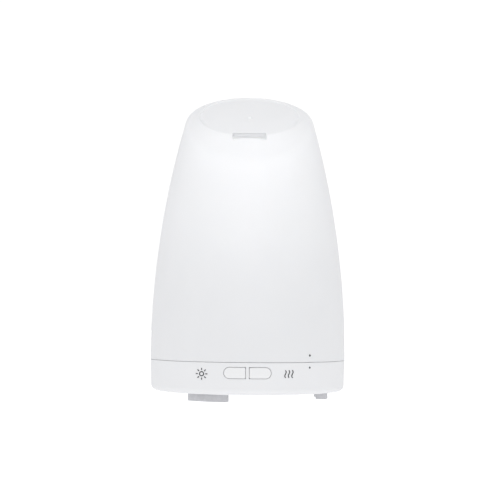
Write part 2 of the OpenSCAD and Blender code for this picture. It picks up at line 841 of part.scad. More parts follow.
module fan_rotor() {
    hub_low = fan_z + 1.7;
    hub_high = fan_z + fan_h - 0.3;
    tip_r = fan_bore_r - 0.6;
    color([0.15, 0.15, 0.16]) at_fan() {
        difference() {
            translate([0, 0, hub_low]) cylinder(r = fan_hub_r, h = hub_high - hub_low, $fn = 96);
            translate([0, 0, hub_low - over]) cylinder(r = 6.9, h = hub_high - hub_low - 1 + over, $fn = 96);
            translate([0, 0, hub_low]) cylinder(r = 1, h = 10, $fn = small_fn);
        }
        intersection() {
            tube(tip_r, fan_hub_r - 0.2, hub_low, hub_high, 96);
            for (i = [0 : blade_count - 1]) rotate([0, 0, i * 360 / blade_count])
                translate([0, 0, fan_z + 4.2]) rotate([38, 0, 0])
                    translate([fan_hub_r - 1, -4, -0.3]) cube([tip_r, 8, 0.6]);
        }
    }
}

module fan_magnet() {
    color(metal) at_fan() tube(6.9, 6.3, fan_z + 1.7, fan_z + 5.3, 96);
}

module fan_shaft() {
    color(metal) at_fan() translate([0, 0, fan_z + 1.2]) cylinder(r = 1, h = fan_h - 1.5, $fn = small_fn);
}

// ================= power inlet =================

module dc_jack() {
    color(black_plastic) difference() {
        block([-jack_w / 2, jack_w / 2], jack_y, [floor_z, floor_z + jack_w]);
        translate([0, jack_y[1] + over, jack_z]) rotate([90, 0, 0]) cylinder(r = jack_bore_r, h = 9 + over, $fn = 64);
    }
}

module jack_contacts() {
    color(metal) {
        translate([0, jack_y[1] - 0.5, jack_z]) rotate([90, 0, 0]) cylinder(r = jack_pin_r, h = 8.5, $fn = small_fn);
        for (x = [-2.2, 2.2])
            block([x - 0.9, x + 0.9], [jack_y[0] - 1.4, jack_y[0]], [9, 9.5]);
    }
}

// ================= wires =================

wire_d = 0.9;
wire_z = board_top_z + 1.2;
red = "firebrick";
black = [0.1, 0.1, 0.1];
grey = [0.6, 0.6, 0.6];

// Route of the first wire of each lead, from the part it serves to its socket on the main board
jack_route = [
    [2.2, 4.95, 9.25], [2.2, 3.6, 9.25], [2, 2.2, 12], [2.2, 1.5, 16], [3.2, 1.4, 19],
    [5.2, 1.4, wire_z], [6.95, 1.4, wire_z]
];
fan_route = [
    [-4.95, -12, 9], [-3.4, -12, 9], [-0.4, -13.2, 12.5], [2.4, -13.9, 18],
    [5.2, -13.9, wire_z], [6.95, -13.9, wire_z]
];
disc_route = [
    [-3, -1.2, disc_z - 0.05], [-3, -1.2, 23.4], [-1, -4.4, 20.8], [2.4, -6.8, wire_z],
    [5.2, -7.1, wire_z], [6.95, -7.1, wire_z]
];
led_route = [
    [15.5, 15, led_board_z - 0.05], [15.5, 15, 22.9], [16.3, 15, 21.3],
    [15.6, 14.9, wire_z], [14.05, 14.9, wire_z]
];
switch_route = [
    [6.5, -31.95, 9], [6.5, -30, 9], [8.5, -28.6, 10.5], [11.5, -28.2, 13.5], [13.6, -28, 17],
    [14, -27.2, 19.2], [14, -26.5, wire_z], [14, -25.05, wire_z]
];

// Wires side by side: they leave one step apart and end another step apart
module lead(route, start_step, end_step, colours, side) {
    last = len(route) - 1;
    for (k = [0 : len(colours) - 1]) {
        points = [
            for (i = [0 : last]) let (t = min(max(i - 1, 0) / (last - 2), 1))
                route[i] + k * (start_step * (1 - t) + end_step * t)
        ];
        color(colours[k]) wire(points, wire_d, side);
    }
}

module jack_wires() {
    lead(jack_route, [-4.4, 0, 0], [0, -1.8, 0], [red, black], [1, 0.2, 0]);
}

module fan_wires() {
    lead(fan_route, [0, 1.4, 0], [0, 1.8, 0], [red, black], [0, 1, 0]);
}

module transducer_wires() {
    lead(disc_route, [0, 2.4, 0], [0, 1.7, 0], [red, black], [0.3, 1, 0]);
}

module led_wires() {
    lead(led_route, [0, 1.7, 0], [0, 1.7, 0], [grey, grey], [0, 1, 0]);
}

module switch_wires() {
    lead(switch_route, [1.5, 0, 0], [1.5, 0, 0], [grey, grey, grey], [1, 0, 0]);
}

// ================= what is drawn =================

outer_cover();
mist_funnel();
cover_dot();
base_housing();
tank_body();
tank_gasket();
rotate([0, 0, foot_angles[0]]) foot();  // foot_front_left
rotate([0, 0, foot_angles[1]]) foot();  // foot_right
rotate([0, 0, foot_angles[2]]) foot();  // foot_rear_left
base_screws();
transducer_disc();
transducer_seal();
transducer_clamp();
clamp_screws();
led_board();
leds();
led_board_screws();
main_board();
board_chip();
board_inductor();
board_capacitors();
heat_sink();
board_connectors();
board_screws();
switch_board();
tact_switch(-1);  // light_switch
tact_switch(1);  // mist_switch
fan_housing();
fan_stator();
fan_bearing();
fan_screws();
dc_jack();
jack_contacts();
jack_wires();
fan_wires();
transducer_wires();
led_wires();
switch_wires();
base_dot();
light_icon();
mist_icon();
button(-1);  // light_button
plunger(-1);  // light_plunger
button(1);  // mist_button
plunger(1);  // mist_plunger
fan_rotor();
fan_magnet();
fan_shaft();
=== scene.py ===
"""Essential oil diffuser: looks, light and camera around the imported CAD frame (Blender 4.5)."""

import json
import math

import bmesh
import bpy
from mathutils import Matrix, Vector


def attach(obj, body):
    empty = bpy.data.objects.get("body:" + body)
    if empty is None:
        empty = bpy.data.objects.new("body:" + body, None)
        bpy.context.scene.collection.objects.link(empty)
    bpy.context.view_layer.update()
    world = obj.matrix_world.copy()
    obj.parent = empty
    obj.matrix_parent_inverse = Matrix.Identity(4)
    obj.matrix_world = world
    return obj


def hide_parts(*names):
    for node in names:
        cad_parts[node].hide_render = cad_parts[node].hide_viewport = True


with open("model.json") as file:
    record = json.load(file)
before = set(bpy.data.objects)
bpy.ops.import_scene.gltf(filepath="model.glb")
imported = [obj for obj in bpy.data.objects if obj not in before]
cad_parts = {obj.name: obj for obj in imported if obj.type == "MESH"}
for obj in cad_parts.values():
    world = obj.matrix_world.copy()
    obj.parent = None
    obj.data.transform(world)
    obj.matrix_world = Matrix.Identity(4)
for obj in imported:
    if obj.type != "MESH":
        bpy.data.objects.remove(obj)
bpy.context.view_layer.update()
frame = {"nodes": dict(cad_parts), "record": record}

MM = 0.001

# ---- the cover's outside, in millimetres ----
BODY_R = 44.5
ARC_R = 402.0  # the side's outline is an arc of this radius
ARC_Z = 18.0
ARC_X = BODY_R - ARC_R
COVER_Z = 17.75  # lower edge
SKIRT_Z = 17.5  # the side's skin reaches this far, down to the seam
SKIRT_R = 43.45
EDGE_TURN = 0.15  # rounding of the cover's two lower edges
TOP_MID_Z = 130.7
TOP_TILT = math.radians(28.3)
RIM_ROUNDING_BACK = 2.3
RIM_ROUNDING_FRONT = 16.0  # added toward the front

# ---- the cover's inside ----
COVER_WALL = 1.8
RIM_T = 2.6
INNER_ROUNDING = 1.2
BORE_R = 42.45
BORE_TOP_Z = 21.0

# ---- the land between rim and dish: its fall below the slanted plane, in degrees ----
LAND_FALL = 3.0
LAND_FALL_FRONT = 8.0
LAND_FALL_STEP = 15.0
LAND_STEP_START = 0.42  # of the way from the back to the front
LAND_STEP_LENGTH = 0.42

# ---- dish, outlet and marks ----
DISH_R = 23.6
DISH_Y = -1.5
DISH_DEPTH = 0.6
DISH_EDGE_DEPTH = 0.45
DISH_RISE = 0.2
CREASE_LIP = 0.8  # radius of the land's turn down into the dish
CREASE_END = math.radians(-60)
OUTLET_W = 15.0
OUTLET_Y = (-26.2, -20.3)
OUTLET_INSIDE_Y = -18.6
OUTLET_CORNER = 0.8
GATE_MARK_Y = -2.2
GATE_MARK = ((1.25, -0.1), (1.2, 0.09), (1.05, 0.32), (0.8, 0.5), (0.4, 0.63), (0.03, 0.65))  # radius, height
MARK_ANGLE = math.radians(-52.9)
COVER_DOT_Z = 20.4
COVER_DOT_R = 0.5
COVER_DOT_DEPTH = 0.26
SEGMENTS = 288

# ---- buttons ----
BUTTON_W = 9.1
BUTTON_H = 4.6
BUTTON_GAP = 1.8
BUTTON_Z = 13.0
BUTTON_INSET = 0.12
BUTTON_CORNER = 0.5
BUTTON_EDGE = 0.3
BUTTON_TIGHT = 0.06  # the cap's sides stand this far outside its outline
BUTTON_CROWN = 0.03
BUTTON_CROWN_RUN = 1.85  # from the edge's end to the middle line
BUTTON_FLANGE = 0.75
BUTTON_FLANGE_Y = -40.4
BUTTON_STEM_R = 1.6
BUTTON_STEM_Y = -37.2

# ---- feet ----
FOOT_IN_R = 32.0
FOOT_OUT_R = 36.7
FOOT_HALF = 15.6  # degrees
FOOT_H = 4.5
FOOT_EDGE = 0.18
FOOT_CORNER = 0.5


# ================= shapes =================


def arc_points(center, start, end, count):
    """Points on the short arc about center from start to end, both included."""
    cx, cy = center
    a0 = math.atan2(start[1] - cy, start[0] - cx)
    a1 = math.atan2(end[1] - cy, end[0] - cx)
    turn = (a1 - a0 + math.pi) % (2 * math.pi) - math.pi
    radius = math.hypot(start[0] - cx, start[1] - cy)
    angles = (a0 + turn * i / count for i in range(count + 1))
    return [(cx + radius * math.cos(a), cy + radius * math.sin(a)) for a in angles]


def full_turn(count):
    """Evenly spaced angles once round a circle."""
    return [2 * math.pi * k / count for k in range(count)]


def side_radius(z, inset=0.0):
    """Radius of the cover's side at height z, moved in by inset."""
    return ARC_X + math.sqrt((ARC_R - inset) ** 2 - (z - ARC_Z) ** 2)


def land_line(angle):
    """The land outside the dish: where it starts, at what height, and its slope, in the half-plane at angle."""
    front = (1 - math.sin(angle)) / 2
    t = min(max((front - LAND_STEP_START) / LAND_STEP_LENGTH, 0), 1)
    fall = math.radians(LAND_FALL + LAND_FALL_FRONT * front + LAND_FALL_STEP * t * t * (3 - 2 * t))
    fall -= math.atan(math.tan(TOP_TILT) * math.sin(angle))
    start = dish_reach(angle) + CREASE_LIP * math.sin(fall)
    return start, top_z(start * math.sin(angle)), -math.tan(fall)


def rim_profile(angle, inset, drop, rounding, low_z, wall_count, round_count):
    """Side and rounded rim of the cover in the half-plane at angle, moved in by inset and down by drop."""
    start, start_z, slope = land_line(angle)
    stretch = math.hypot(1, slope)
    at_axis = start_z - slope * start - drop * stretch
    z = 120.0
    for _ in range(60):  # closes in on the rounding's centre, from any height near it
        r = side_radius(z, inset + rounding)
        z = at_axis + slope * r - rounding * stretch
    center = (r, z)
    out = math.hypot(r - ARC_X, z - ARC_Z)
    scale = (ARC_R - inset) / out
    on_side = (ARC_X + (r - ARC_X) * scale, ARC_Z + (z - ARC_Z) * scale)
    on_top = (r - rounding * slope / stretch, z + rounding / stretch)
    levels = [low_z + (on_side[1] - low_z) * i / wall_count for i in range(wall_count)]
    side = [(side_radius(level, inset), level) for level in levels]
    return side + arc_points(center, on_side, on_top, round_count)


def top_z(y, drop=0.0):
    """Height of the slanted plane through the dish's edge, moved down by drop across it."""
    return TOP_MID_Z - drop / math.cos(TOP_TILT) + math.tan(TOP_TILT) * y


def dish_z(x, y):
    """Height of the dish's floor: a shallow ball shape that rises a little toward the back."""
    sag = DISH_DEPTH - DISH_EDGE_DEPTH
    radius = (DISH_R**2 + sag**2) / (2 * sag)
    cy = DISH_Y - math.sin(TOP_TILT) * (radius - DISH_DEPTH)
    cz = top_z(DISH_Y) + math.cos(TOP_TILT) * (radius - DISH_DEPTH)
    return cz - math.sqrt(radius**2 - x * x - (y - cy) ** 2) + DISH_RISE * (y - DISH_Y) / DISH_R


def dish_reach(angle):
    """Distance from the axis to the dish's edge, in the direction angle."""
    along = DISH_Y * math.sin(angle)
    return along + math.sqrt(DISH_R**2 - (DISH_Y**2 - along**2))


def surface_z(x, y):
    """Height of the cover's top: the dish inside its circle, and the land outside."""
    if math.hypot(x, y - DISH_Y) < DISH_R:
        return dish_z(x, y)
    start, start_z, slope = land_line(math.atan2(y, x))
    return start_z + slope * (math.hypot(x, y) - start)


def mesh_object(name, verts, faces):
    """Object from points in millimetres."""
    mesh = bpy.data.meshes.new(name)
    mesh.from_pydata([[c * MM for c in v] for v in verts], [], faces)
    mesh.validate()
    obj = bpy.data.objects.new(name, mesh)
    bpy.context.collection.objects.link(obj)
    return obj


def side_faces(ring_count, count):
    """Quads between each ring of points and the next."""
    faces = []
    for j in range(ring_count - 1):
        a, b = j * count, (j + 1) * count
        faces += [(a + k, a + (k + 1) % count, b + (k + 1) % count, b + k) for k in range(count)]
    return faces


def ring_solid(name, rings):
    """Solid from equal closed loops of points, one after another, with a flat end at both."""
    count = len(rings[0])
    faces = side_faces(len(rings), count)
    faces.append(tuple(reversed(range(count))))
    faces.append(tuple((len(rings) - 1) * count + k for k in range(count)))
    return mesh_object(name, [v for ring in rings for v in ring], faces)


def loft(name, profiles):
    """Closed solid from one (radius, height) profile per angle; the first and last points sit on the axis."""
    count = len(profiles)
    ring_count = len(profiles[0]) - 2
    verts = []
    for j in range(1, ring_count + 1):
        for angle, profile in zip(full_turn(count), profiles):
            r, z = profile[j]
            verts.append((r * math.cos(angle), r * math.sin(angle), z))
    low, high = len(verts), len(verts) + 1
    verts += [(0, 0, profiles[0][0][1]), (0, 0, profiles[0][-1][1])]
    faces = side_faces(ring_count, count)
    last = (ring_count - 1) * count
    faces += [(low, (k + 1) % count, k) for k in range(count)]
    faces += [(last + k, last + (k + 1) % count, high) for k in range(count)]
    return mesh_object(name, verts, faces)


def cut(obj, cutter):
    """Takes the cutter's shape out of obj and removes the cutter."""
    mod = obj.modifiers.new("cut", "BOOLEAN")
    mod.operation = "DIFFERENCE"
    mod.solver = "EXACT"
    mod.object = cutter
    bake_modifiers(obj)
    bpy.data.objects.remove(cutter)


def bake_modifiers(obj):
    """Makes what the modifiers show the object's own mesh."""
    bpy.context.view_layer.update()
    shaped = obj.evaluated_get(bpy.context.evaluated_depsgraph_get())
    mesh = bpy.data.meshes.new_from_object(shaped)
    obj.modifiers.clear()
    obj.data = mesh


def shade(obj, degrees=35):
    """Smooth shading with hard edges past an angle."""
    obj.data.polygons.foreach_set("use_smooth", [True] * len(obj.data.polygons))
    obj.data.set_sharp_from_angle(angle=math.radians(degrees))


# ================= the cover =================


def cover_profile(angle):
    """From the axis under the top, down the inside, round the lower edge, up the side and over rim and dish."""
    c, s = math.cos(angle), math.sin(angle)
    start, start_z, slope = land_line(angle)
    inner = rim_profile(angle, COVER_WALL, RIM_T, INNER_ROUNDING, BORE_TOP_Z, 30, 4)
    under = [(start - 1.5) * t for t in (0.0, 0.25, 0.5, 0.75, 1.0)]
    inside = [(r, top_z(r * s, RIM_T)) for r in under] + inner[::-1]
    turn = EDGE_TURN
    edge_z, skin_z, low_r = COVER_Z + turn, SKIRT_Z + turn, side_radius(SKIRT_Z + turn)
    edge = [(BORE_R, BORE_TOP_Z), (BORE_R, edge_z)]
    edge += arc_points((BORE_R + turn, edge_z), (BORE_R, edge_z), (BORE_R + turn, COVER_Z), 3)[1:]
    edge += [(SKIRT_R, COVER_Z), (SKIRT_R, SKIRT_Z)]
    edge += arc_points((low_r - turn, skin_z), (low_r - turn, SKIRT_Z), (low_r, skin_z), 4)[:-1]
    rounding = RIM_ROUNDING_BACK + RIM_ROUNDING_FRONT * ((1 - s) / 2) ** 4
    outer = rim_profile(angle, 0, 0, rounding, skin_z, 60, 12)
    rim_in = outer[-1][0]
    land = [rim_in + (start - rim_in) * t for t in (0.35, 0.7, 1.0)]
    top = [(r, start_z + slope * (r - start)) for r in land]
    fall = -math.atan(slope)
    lip_r, lip_z = start - CREASE_LIP * math.sin(fall), start_z - CREASE_LIP * math.cos(fall)
    for i in range(1, 7):
        a = fall + (CREASE_END - fall) * i / 6
        top.append((lip_r + CREASE_LIP * math.sin(a), lip_z + CREASE_LIP * math.cos(a)))
    floor_r = lip_r - 0.95 * CREASE_LIP
    floor = [floor_r * t for t in (1.0, 0.93, 0.8, 0.65, 0.5, 0.3, 0.1, 0.0)]
    top += [(r, dish_z(r * c, r * s)) for r in floor]
    return inside + edge + outer + top


def rounded_box_loop(x, y, radius, grow, step=0.25):
    """Points round a rectangle with rounded corners, as (x, y) pairs, grown outward."""
    loop = []
    corners = [(x, y[1], 0), (-x, y[1], 90), (-x, y[0], 180), (x, y[0], 270)]
    for cx, cy, start in corners:
        sx, sy = (1 if cx > 0 else -1), (1 if cy == y[1] else -1)
        mx, my = cx - sx * radius, cy - sy * radius
        for i in range(9):
            a = math.radians(start + 90 * i / 8)
            loop.append((mx + (radius + grow) * math.cos(a), my + (radius + grow) * math.sin(a)))
    dense = []
    for k, p in enumerate(loop):
        q = loop[(k + 1) % len(loop)]
        length = math.hypot(q[0] - p[0], q[1] - p[1])
        parts = max(1, round(length / step)) if length > 1.5 else 1
        dense += [(p[0] + (q[0] - p[0]) * i / parts, p[1] + (q[1] - p[1]) * i / parts) for i in range(parts)]
    return dense


def outlet_cutter():
    """The mist outlet: a small rounding where it meets the top, and more room toward the back under
    its thin lip. The lip stays thicker than the rounding, or the cutter would cross itself."""
    rounding, lip, roof = 0.3, 0.35, 0.25
    plain = rounded_box_loop(OUTLET_W / 2, OUTLET_Y, OUTLET_CORNER, 0)
    wide = rounded_box_loop(OUTLET_W / 2, OUTLET_Y, OUTLET_CORNER, rounding)
    behind = OUTLET_INSIDE_Y - OUTLET_Y[1]
    mid_y = sum(OUTLET_Y) / 2
    low = [(x, y + behind if y > mid_y else y) for x, y in plain]
    rings = [[(x, y, 100.0) for x, y in low]]
    rings.append([(x, y, surface_z(x, y) - lip - roof) for x, y in low])
    rings.append([(x, y, surface_z(*edge) - lip) for (x, y), edge in zip(plain, wide)])
    for i in range(6):
        a = math.pi / 2 * i / 5
        ring = []
        for (x0, y0), (x1, y1) in zip(plain, wide):
            t = 1 - math.cos(a)
            x, y = x0 + (x1 - x0) * t, y0 + (y1 - y0) * t
            ring.append((x, y, surface_z(x1, y1) - rounding * (1 - math.sin(a))))
        rings.append(ring)
    rings.append([(x, y, 150.0) for x, y in wide])
    return ring_solid("outlet_cutter", rings)


def dot_cutter():
    """The shallow hole that holds the cover's printed alignment dot."""
    turn = Matrix.Rotation(MARK_ANGLE, 4, "Z")
    circle = [(COVER_DOT_R * math.cos(a), COVER_DOT_Z + COVER_DOT_R * math.sin(a)) for a in full_turn(32)]
    ends = (side_radius(COVER_DOT_Z) - COVER_DOT_DEPTH, BODY_R + 2)
    return ring_solid("dot_cutter", [[turn @ Vector((out, y, z)) for y, z in circle] for out in ends])


def make_cover():
    """The cover's shell, with its outlet and the hole of its dot."""
    obj = loft("cover_shell", [cover_profile(angle) for angle in full_turn(SEGMENTS)])
    cut(obj, outlet_cutter())
    cut(obj, dot_cutter())
    shade(obj, 50)
    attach(obj, "cover")
    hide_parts("outer_cover")
    return obj


def make_gate_mark():
    """The small raised mark that moulding leaves in the middle of the dish."""
    tilt = Matrix.Rotation(TOP_TILT, 4, "X")
    base = Vector((0, GATE_MARK_Y, dish_z(0, GATE_MARK_Y)))
    rings = []
    for r, h in GATE_MARK:
        rings.append([base + tilt @ Vector((r * math.cos(a), r * math.sin(a), h)) for a in full_turn(32)])
    obj = ring_solid("gate_mark", rings)
    shade(obj, 50)
    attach(obj, "cover")
    return obj


# ================= buttons =================


def button_loop(side, grow):
    """Outline of one button as (x, z) pairs: round outside, square inside."""
    r = BUTTON_H / 2
    inner = BUTTON_GAP / 2
    round_x = inner + BUTTON_W - r
    soft = BUTTON_CORNER
    loop = []
    for i in range(33):
        a = math.radians(-90 + 180 * i / 32)
        loop.append((round_x + (r + grow) * math.cos(a), (r + grow) * math.sin(a)))
    for cz, start in ((r - soft, 90), (soft - r, 180)):
        for i in range(7):
            a = math.radians(start + 90 * i / 6)
            loop.append((inner + soft + (soft + grow) * math.cos(a), cz + (soft + grow) * math.sin(a)))
    return [(side * x, BUTTON_Z + z) for x, z in loop]


def squeezed_loop(side, grow):
    """The button's outline drawn in towards its middle line."""
    keep = 1 + grow / (BUTTON_H / 2)
    mid_x = side * (BUTTON_GAP / 2 + BUTTON_W / 2)
    half = BUTTON_W / 2
    wide = (half + grow) / half
    return [(mid_x + (x - mid_x) * wide, BUTTON_Z + (z - BUTTON_Z) * keep) for x, z in button_loop(side, 0)]


def make_button(side, name, node, body):
    """A cap that follows the base's curve, with a softly rounded front edge, and its flange and stem behind."""

    def face_y(x):
        return -math.sqrt((BODY_R - BUTTON_INSET) ** 2 - x * x)

    def straight(part_name, outline, ends):
        return ring_solid(part_name, [[(x, y, z) for x, z in outline] for y in ends])

    turn = BUTTON_EDGE
    rings = [[(x, BUTTON_FLANGE_Y + 0.05, z) for x, z in button_loop(side, BUTTON_TIGHT)]]
    for i in range(6):
        a = math.pi / 2 * i / 5
        grow = BUTTON_TIGHT - turn * (1 - math.cos(a))
        rings.append([(x, face_y(x) + turn * (1 - math.sin(a)), z) for x, z in button_loop(side, grow)])
    for grow in (-0.8, -1.3, -1.8, -2.2):
        crown = BUTTON_CROWN * (-grow - turn) / BUTTON_CROWN_RUN
        rings.append([(x, face_y(x) - crown, z) for x, z in squeezed_loop(side, grow)])
    obj = ring_solid(name, rings)
    outline = [(side * max(0.3, side * x), z) for x, z in button_loop(side, BUTTON_FLANGE)]
    flange = straight("flange", outline, (BUTTON_FLANGE_Y, BUTTON_FLANGE_Y + 1))
    mid_x, r = side * (BUTTON_GAP / 2 + BUTTON_W / 2), BUTTON_STEM_R
    circle = [(mid_x + r * math.cos(a), BUTTON_Z + r * math.sin(a)) for a in full_turn(32)]
    stem = straight("stem", circle, (BUTTON_FLANGE_Y + 0.9, BUTTON_STEM_Y))
    bm = bmesh.new()
    for part in (obj, flange, stem):
        bm.from_mesh(part.data)
    bmesh.ops.recalc_face_normals(bm, faces=bm.faces)
    bm.to_mesh(obj.data)
    bm.free()
    bpy.data.objects.remove(flange)
    bpy.data.objects.remove(stem)
    shade(obj, 50)
    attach(obj, body)
    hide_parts(node)
    return obj


# ================= feet =================


def foot_loop(in_r, out_r, half, soft):
    """Outline of a foot as (radius, angle) pairs, with rounded corners."""
    mid = (in_r + out_r) / 2
    loop = []
    corners = [(out_r - soft, half - soft / mid, 0), (in_r + soft, half - soft / mid, 90)]
    corners += [(in_r + soft, -half + soft / mid, 180), (out_r - soft, -half + soft / mid, 270)]
    for k, (r, a, start) in enumerate(corners):
        for i in range(6):
            t = math.radians(start + 90 * i / 5)
            loop.append((r + soft * math.cos(t), a + soft * math.sin(t) / mid))
        if k in (1, 3):
            edge_r = in_r if k == 1 else out_r
            end = corners[(k + 1) % 4][1]
            for i in range(1, 16):
                loop.append((edge_r, a + (end - a) * i / 16))
    return loop


def make_foot(name, node, angle_deg):
    """A rubber foot: an arc-shaped pad with a softly rounded lower edge."""
    mid_r = (FOOT_IN_R + FOOT_OUT_R) / 2
    levels = [(0.0, FOOT_EDGE)]
    for i in range(1, 5):
        a = math.pi / 2 * i / 4
        levels.append((FOOT_EDGE * (1 - math.cos(a)), FOOT_EDGE * (1 - math.sin(a))))
    levels += [(FOOT_H * 0.5, 0.0), (FOOT_H, 0.0)]
    turn = math.radians(angle_deg)
    rings = []
    for z, inset in levels:
        half = math.radians(FOOT_HALF) - inset / mid_r
        loop = foot_loop(FOOT_IN_R + inset, FOOT_OUT_R - inset, half, FOOT_CORNER - inset * 0.6)
        rings.append([(r * math.cos(a + turn), r * math.sin(a + turn), z) for r, a in loop])
    obj = ring_solid(name, rings)
    shade(obj, 50)
    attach(obj, "base")
    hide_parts(node)
    return obj


# ================= materials =================


class Nodes:
    """A material's node tree with short calls for what every finish here needs."""

    def __init__(self, name):
        self.mat = bpy.data.materials.new(name)
        self.mat.use_nodes = True
        self.tree = self.mat.node_tree
        self.bsdf = self.tree.nodes["Principled BSDF"]
        self.coords = self.add("ShaderNodeTexCoord").outputs["Object"]

    def add(self, kind, **values):
        node = self.tree.nodes.new(kind)
        for key, value in values.items():
            setattr(node, key, value)
        return node

    def link(self, a, b):
        self.tree.links.new(a, b)

    def noise(self, size_mm, detail=3.0, stretch=(1, 1, 1)):
        """Noise whose features are about size_mm across."""
        mapping = self.add("ShaderNodeMapping")
        mapping.inputs["Scale"].default_value = stretch
        node = self.add("ShaderNodeTexNoise")
        node.inputs["Scale"].default_value = 1000.0 / size_mm
        node.inputs["Detail"].default_value = detail
        self.link(self.coords, mapping.inputs["Vector"])
        self.link(mapping.outputs["Vector"], node.inputs["Vector"])
        return node.outputs["Fac"]

    def between(self, fac, low, high, from_low=0.35, from_high=0.65):
        node = self.add("ShaderNodeMapRange")
        node.inputs["From Min"].default_value = from_low
        node.inputs["From Max"].default_value = from_high
        node.inputs["To Min"].default_value = low
        node.inputs["To Max"].default_value = high
        self.link(fac, node.inputs["Value"])
        return node.outputs["Result"]

    def mix(self, fac, a, b):
        node = self.add("ShaderNodeMix", data_type="RGBA")
        self.link(fac, node.inputs["Factor"])
        for socket, value in ((node.inputs["A"], a), (node.inputs["B"], b)):
            if isinstance(value, tuple):
                socket.default_value = (*value, 1)
            else:
                self.link(value, socket)
        return node.outputs["Result"]

    def bump(self, height, depth_mm, strength=1.0, after=None):
        node = self.add("ShaderNodeBump")
        node.inputs["Strength"].default_value = strength
        node.inputs["Distance"].default_value = depth_mm * MM
        self.link(height, node.inputs["Height"])
        if after is not None:
            self.link(after, node.inputs["Normal"])
        return node.outputs["Normal"]


def scaled(color, factor):
    """The colour made lighter or darker."""
    return tuple(min(1.0, c * factor) for c in color)


def plastic(name, color, rough, grain_mm=0.35, grain_depth=0.006, cloud=0.985, sss=0.0, sss_mm=2.0, glow=0.0):
    """Moulded plastic: a fine spark-eroded grain, faint clouding, and roughness that varies a little.
    Its glow stands in for the daylight that comes through thin white walls around it."""
    n = Nodes(name)
    clouds = n.between(n.noise(22, 3), 0.0, 1.0)
    flow = n.between(n.noise(9, 4, (1, 1, 0.35)), 0.0, 1.0)
    tone = n.mix(clouds, scaled(color, cloud), color)
    tone = n.mix(n.between(flow, 0.0, 0.5, 0, 1), tone, scaled(color, cloud))
    n.link(tone, n.bsdf.inputs["Base Color"])
    n.link(n.between(n.noise(3.0, 5), rough - 0.05, rough + 0.05), n.bsdf.inputs["Roughness"])
    waves = n.bump(n.noise(14, 2), 0.02, 0.5)
    n.link(n.bump(n.noise(grain_mm, 4), grain_depth, 0.8, waves), n.bsdf.inputs["Normal"])
    n.bsdf.inputs["IOR"].default_value = 1.49
    n.bsdf.inputs["Emission Color"].default_value = (1, 1, 1, 1)
    n.bsdf.inputs["Emission Strength"].default_value = glow
    if sss:
        n.bsdf.inputs["Subsurface Weight"].default_value = sss
        n.bsdf.inputs["Subsurface Radius"].default_value = (1.0, 0.95, 0.9)
        n.bsdf.inputs["Subsurface Scale"].default_value = sss_mm * MM
    return n.mat


def rubber(name, color, rough=0.75, grain_mm=0.6):
    """Matte elastomer with a dusty, finely pitted skin."""
    n = Nodes(name)
    dust = n.between(n.noise(2.5, 6), 0.0, 1.0)
    n.link(n.mix(dust, scaled(color, 0.92), scaled(color, 1.06)), n.bsdf.inputs["Base Color"])
    n.link(n.between(n.noise(1.5, 4), rough - 0.08, rough + 0.06), n.bsdf.inputs["Roughness"])
    n.link(n.bump(n.noise(grain_mm, 5), 0.02, 0.7), n.bsdf.inputs["Normal"])
    n.bsdf.inputs["Specular IOR Level"].default_value = 0.35
    return n.mat


def metal(name, color, rough, stretch=(1, 1, 12), grain_mm=1.2):
    """Drawn or brushed metal: fine lines in one direction and slight staining."""
    n = Nodes(name)
    lines = n.noise(grain_mm, 4, stretch)
    stain = n.between(n.noise(5, 4), 0.0, 1.0)
    n.link(n.mix(stain, scaled(color, 0.86), color), n.bsdf.inputs["Base Color"])
    n.link(n.between(lines, rough - 0.08, rough + 0.12), n.bsdf.inputs["Roughness"])
    n.link(n.bump(lines, 0.01, 0.6), n.bsdf.inputs["Normal"])
    n.bsdf.inputs["Metallic"].default_value = 1.0
    return n.mat


def board(name, mask, copper):
    """Circuit board: tracks show through the solder mask as slightly raised lighter lines."""
    n = Nodes(name)
    tracks = n.add("ShaderNodeTexBrick")
    tracks.inputs["Scale"].default_value = 260.0
    tracks.inputs["Mortar Size"].default_value = 0.07
    tracks.inputs["Mortar Smooth"].default_value = 0.3
    n.link(n.coords, tracks.inputs["Vector"])
    n.link(
        n.mix(tracks.outputs["Fac"], n.mix(n.between(n.noise(4, 4), 0, 1), mask, scaled(mask, 0.8)), copper),
        n.bsdf.inputs["Base Color"],
    )
    n.link(n.between(n.noise(2, 3), 0.28, 0.42), n.bsdf.inputs["Roughness"])
    n.link(n.bump(tracks.outputs["Fac"], 0.03, 0.8), n.bsdf.inputs["Normal"])
    return n.mat


def winding(name, color):
    """Enamelled copper wound in layers."""
    n = Nodes(name)
    turns = n.add("ShaderNodeTexWave", bands_direction="Z")
    turns.inputs["Scale"].default_value = 1400.0
    turns.inputs["Distortion"].default_value = 0.4
    n.link(n.coords, turns.inputs["Vector"])
    n.link(n.mix(turns.outputs["Fac"], scaled(color, 0.45), color), n.bsdf.inputs["Base Color"])
    n.link(n.between(n.noise(1, 3), 0.25, 0.4), n.bsdf.inputs["Roughness"])
    n.link(n.bump(turns.outputs["Fac"], 0.06, 0.8), n.bsdf.inputs["Normal"])
    n.bsdf.inputs["Metallic"].default_value = 0.8
    return n.mat


def wires(name, first, second):
    """Insulation of a lead: each wire in it has its own colour."""
    n = Nodes(name)
    island = n.add("ShaderNodeNewGeometry").outputs["Random Per Island"]
    pick = n.between(island, 0.0, 1.0, 0.49, 0.51)
    sleeve = n.mix(pick, first, second)
    n.link(n.mix(n.between(n.noise(2, 4), 0.0, 0.3), sleeve, (0.5, 0.5, 0.5)), n.bsdf.inputs["Base Color"])
    n.link(n.between(n.noise(0.8, 3), 0.38, 0.5), n.bsdf.inputs["Roughness"])
    n.link(n.bump(n.noise(0.5, 3), 0.01, 0.5), n.bsdf.inputs["Normal"])
    return n.mat


